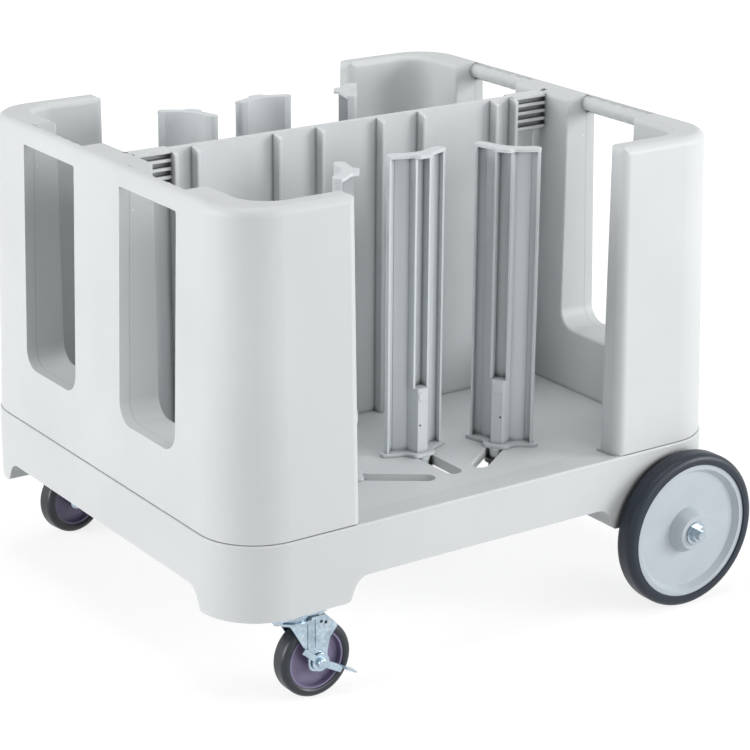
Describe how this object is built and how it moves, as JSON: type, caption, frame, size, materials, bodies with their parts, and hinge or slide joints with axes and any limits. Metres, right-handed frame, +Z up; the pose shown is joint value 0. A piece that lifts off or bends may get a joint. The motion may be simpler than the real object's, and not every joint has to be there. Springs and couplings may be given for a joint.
{
  "type": "plate dispenser cart",
  "caption": "Mobile cart for stacks of plates: two U-shaped ends with hand grips, a middle divider and sliding towers, on large wheels and swivel casters.",
  "frame": {"origin": "on the floor, under the middle of the overall length and width", "axes": "+X along the cart towards the large fixed wheels, +Y towards the far long side, +Z up"},
  "size_m": [0.9496, 0.9436, 0.7545],
  "materials": {
    "body_plastic": "pale cool grey moulded plastic with a fine satin surface",
    "divider_plastic": "pale cool grey moulded plastic, satin",
    "tower_plastic": "mid cool grey moulded plastic, satin",
    "button_plastic": "light grey moulded plastic",
    "clamp_black": "black glass-filled plastic",
    "zinc_steel": "bright zinc-plated steel",
    "zinc_plate": "bright zinc-plated pressed steel, faint blue tint",
    "wheel_rubber": "dark blue-grey moulded rubber",
    "hub_plastic": "pale blue-grey moulded plastic, light gloss",
    "bushing_black": "black plain bearing plastic",
    "core_plastic": "violet-grey moulded plastic, satin",
    "caster_rubber": "dark grey moulded rubber"
  },
  "bodies": {
    "cart": {"base": "body_plastic", "caster_end_wall": "body_plastic", "wheel_end_wall": "body_plastic", "divider_panel": "divider_plastic", "axle": "zinc_steel", "axle_brackets": "zinc_steel", "axle_spacers": "zinc_steel", "axle_nuts": "zinc_steel", "caster_plate_near": "zinc_plate", "caster_plate_far": "zinc_plate", "mount_bolts": "zinc_steel", "wall_bolts": "zinc_steel"},
    "tower_near_caster_set": {"tower_near_caster": "tower_plastic", "lock_housing_near_caster": "tower_plastic", "draw_stud_near_caster": "button_plastic", "clamp_foot_near_caster": "clamp_black"},
    "button_near_caster": {"release_button_near_caster": "button_plastic"},
    "tower_near_middle_set": {"tower_near_middle": "tower_plastic", "lock_housing_near_middle": "tower_plastic", "draw_stud_near_middle": "button_plastic", "clamp_foot_near_middle": "clamp_black"},
    "button_near_middle": {"release_button_near_middle": "button_plastic"},
    "tower_near_wheel_set": {"tower_near_wheel": "tower_plastic", "lock_housing_near_wheel": "tower_plastic", "draw_stud_near_wheel": "button_plastic", "clamp_foot_near_wheel": "clamp_black"},
    "button_near_wheel": {"release_button_near_wheel": "button_plastic"},
    "tower_far_caster_set": {"tower_far_caster": "tower_plastic", "lock_housing_far_caster": "tower_plastic", "draw_stud_far_caster": "button_plastic", "clamp_foot_far_caster": "clamp_black"},
    "button_far_caster": {"release_button_far_caster": "button_plastic"},
    "tower_far_middle_set": {"tower_far_middle": "tower_plastic", "lock_housing_far_middle": "tower_plastic", "draw_stud_far_middle": "button_plastic", "clamp_foot_far_middle": "clamp_black"},
    "button_far_middle": {"release_button_far_middle": "button_plastic"},
    "tower_far_wheel_set": {"tower_far_wheel": "tower_plastic", "lock_housing_far_wheel": "tower_plastic", "draw_stud_far_wheel": "button_plastic", "clamp_foot_far_wheel": "clamp_black"},
    "button_far_wheel": {"release_button_far_wheel": "button_plastic"},
    "wheel_near": {"wheel_tyre_near": "wheel_rubber", "wheel_hub_near": "hub_plastic", "wheel_bushings_near": "bushing_black"},
    "wheel_far": {"wheel_tyre_far": "wheel_rubber", "wheel_hub_far": "hub_plastic", "wheel_bushings_far": "bushing_black"},
    "caster_fork_near_set": {"caster_fork_near": "zinc_plate", "caster_bolt_near": "zinc_plate"},
    "caster_wheel_near": {"caster_core_near": "core_plastic", "caster_tyre_near": "caster_rubber"},
    "caster_fork_far_set": {"caster_fork_far": "zinc_plate", "caster_bolt_far": "zinc_plate"},
    "caster_wheel_far": {"caster_core_far": "core_plastic", "caster_tyre_far": "caster_rubber"},
    "brake": {"brake_lever": "zinc_plate"}
  },
  "joints": [
    {"name": "tower_slide_near_caster", "type": "slide", "parent": "cart", "child": "tower_near_caster_set", "axis": [0.8192, -0.5736, 0], "range_m": [-0.1244, 0.1066]},
    {"name": "release_press_near_caster", "type": "slide", "parent": "tower_near_caster_set", "child": "button_near_caster", "axis": [-0.8192, 0.5736, 0], "range_m": [0, 0.003], "stiffness_N_per_m": 600, "springref_m": -0.002},
    {"name": "tower_slide_near_middle", "type": "slide", "parent": "cart", "child": "tower_near_middle_set", "axis": [0, 1, 0], "range_m": [-0.08, 0.059]},
    {"name": "release_press_near_middle", "type": "slide", "parent": "tower_near_middle_set", "child": "button_near_middle", "axis": [0, 1, 0], "range_m": [0, 0.003], "stiffness_N_per_m": 600, "springref_m": -0.002},
    {"name": "tower_slide_near_wheel", "type": "slide", "parent": "cart", "child": "tower_near_wheel_set", "axis": [-0.8192, -0.5736, 0], "range_m": [-0.1488, 0.0822]},
    {"name": "release_press_near_wheel", "type": "slide", "parent": "tower_near_wheel_set", "child": "button_near_wheel", "axis": [0.8192, 0.5736, 0], "range_m": [0, 0.003], "stiffness_N_per_m": 600, "springref_m": -0.002},
    {"name": "tower_slide_far_caster", "type": "slide", "parent": "cart", "child": "tower_far_caster_set", "axis": [0.8192, 0.5736, 0], "range_m": [-0.1266, 0.0666]},
    {"name": "release_press_far_caster", "type": "slide", "parent": "tower_far_caster_set", "child": "button_far_caster", "axis": [-0.8192, -0.5736, 0], "range_m": [0, 0.003], "stiffness_N_per_m": 600, "springref_m": -0.002},
    {"name": "tower_slide_far_middle", "type": "slide", "parent": "cart", "child": "tower_far_middle_set", "axis": [0, -1, 0], "range_m": [-0.023, 0.116]},
    {"name": "release_press_far_middle", "type": "slide", "parent": "tower_far_middle_set", "child": "button_far_middle", "axis": [0, -1, 0], "range_m": [0, 0.003], "stiffness_N_per_m": 600, "springref_m": -0.002},
    {"name": "tower_slide_far_wheel", "type": "slide", "parent": "cart", "child": "tower_far_wheel_set", "axis": [-0.8192, 0.5736, 0], "range_m": [-0.1266, 0.0666]},
    {"name": "release_press_far_wheel", "type": "slide", "parent": "tower_far_wheel_set", "child": "button_far_wheel", "axis": [0.8192, -0.5736, 0], "range_m": [0, 0.003], "stiffness_N_per_m": 600, "springref_m": -0.002},
    {"name": "wheel_spin_near", "type": "hinge", "parent": "cart", "child": "wheel_near", "pos_m": [0.3472, -0.428, 0.1276], "axis": [0, 1, 0], "continuous": true},
    {"name": "wheel_spin_far", "type": "hinge", "parent": "cart", "child": "wheel_far", "pos_m": [0.3472, 0.428, 0.1276], "axis": [0, 1, 0], "continuous": true},
    {"name": "caster_swivel_near", "type": "hinge", "parent": "cart", "child": "caster_fork_near_set", "pos_m": [-0.3598, -0.3724, 0.1332], "axis": [0, 0, 1], "continuous": true},
    {"name": "caster_spin_near", "type": "hinge", "parent": "caster_fork_near_set", "child": "caster_wheel_near", "pos_m": [-0.3244, -0.3724, 0.0598], "axis": [0, 1, 0], "continuous": true},
    {"name": "caster_swivel_far", "type": "hinge", "parent": "cart", "child": "caster_fork_far_set", "pos_m": [-0.3598, 0.3724, 0.1332], "axis": [0, 0, 1], "continuous": true},
    {"name": "caster_spin_far", "type": "hinge", "parent": "caster_fork_far_set", "child": "caster_wheel_far", "pos_m": [-0.32489, 0.37824, 0.0598], "axis": [-0.165, 0.9863, 0], "continuous": true},
    {"name": "brake_press", "type": "hinge", "parent": "caster_fork_near_set", "child": "brake", "pos_m": [-0.3244, -0.4, 0.0598], "axis": [0, 1, 0], "range_deg": [0, 18]}
  ]
}
